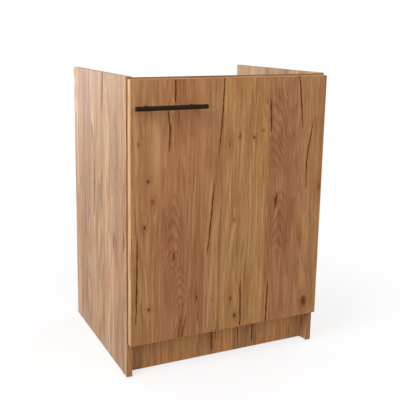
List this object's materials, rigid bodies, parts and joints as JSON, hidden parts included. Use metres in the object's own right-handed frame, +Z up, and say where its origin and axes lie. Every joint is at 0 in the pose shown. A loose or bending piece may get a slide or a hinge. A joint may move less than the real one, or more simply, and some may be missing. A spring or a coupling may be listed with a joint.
{
  "type": "kitchen base cabinet",
  "caption": "Sink base kitchen cabinet in wood-look laminated board, with a door on concealed hinges, a black bar handle, a set-back plinth, and an open top and back.",
  "frame": {"origin": "on the floor under the middle of the whole outline, handle included", "axes": "+Z up, +X to the right seen from the front, +Y from the door to the open back"},
  "size_m": [0.6, 0.522, 0.818],
  "materials": {
    "carcass_laminate": "wood-look melamine laminate, satin",
    "edge_band": "wood-look plastic edge band, satin",
    "door_laminate": "wood-look laminate with plank bands, splits and knots, satin",
    "zinc": "die-cast zinc",
    "steel": "zinc-plated steel",
    "nickel": "nickel-plated steel",
    "beech": "fluted beech dowel",
    "glide_plastic": "brown plastic",
    "black_metal": "matt black powder coat",
    "buffer_rubber": "soft clear plastic"
  },
  "bodies": {
    "carcass": {"left_side_panel": "carcass_laminate", "right_side_panel": "carcass_laminate", "bottom_panel": "carcass_laminate", "plinth_board": "carcass_laminate", "front_top_rail": "carcass_laminate", "rear_rail": "carcass_laminate", "left_front_band": "edge_band", "right_front_band": "edge_band", "bottom_front_band": "edge_band", "rail_top_band": "edge_band", "cam_locks": "zinc", "cam_bolts": "steel", "wood_dowels": "beech", "glides": "glide_plastic", "hinge_plate_top": "nickel", "hinge_plate_bottom": "nickel", "hinge_plate_screws": "steel", "hinge_arm_top": "nickel", "hinge_arm_bottom": "nickel", "hinge_arm_screws": "steel", "hinge_arm_pins": "steel"},
    "hinge_outer_links": {"hinge_outer_link_top": "nickel", "hinge_outer_link_bottom": "nickel"},
    "hinge_inner_links": {"hinge_inner_link_top": "nickel", "hinge_inner_link_bottom": "nickel"},
    "door": {"door_panel": "door_laminate", "door_left_band": "edge_band", "door_right_band": "edge_band", "door_top_band": "edge_band", "door_bottom_band": "edge_band", "hinge_cup_top": "nickel", "hinge_cup_bottom": "nickel", "hinge_cup_pins": "steel", "hinge_cup_screws": "steel", "handle_bar": "black_metal", "handle_post_left": "black_metal", "handle_post_right": "black_metal", "handle_screws": "steel", "door_buffers": "buffer_rubber"}
  },
  "joints": [
    {"name": "outer_link_swing", "type": "hinge", "parent": "carcass", "child": "hinge_outer_links", "pos_m": [0.2692, -0.196, 0.4565], "axis": [0, 0, 1], "range_deg": [-29.71, 0]},
    {"name": "door_swing", "type": "hinge", "parent": "hinge_outer_links", "child": "door", "pos_m": [0.288, -0.2165, 0.4565], "axis": [0, 0, 1], "range_deg": [0, 124.7]},
    {"name": "inner_link_swing", "type": "hinge", "parent": "carcass", "child": "hinge_inner_links", "pos_m": [0.2635, -0.2175, 0.4565], "axis": [0, 0, 1], "range_deg": [-35.31, 0]}
  ],
  "couplings": [
    {"joint": "outer_link_swing", "follows": "door_swing", "ratio": -0.23817},
    {"joint": "inner_link_swing", "follows": "door_swing", "ratio": -0.28308}
  ]
}
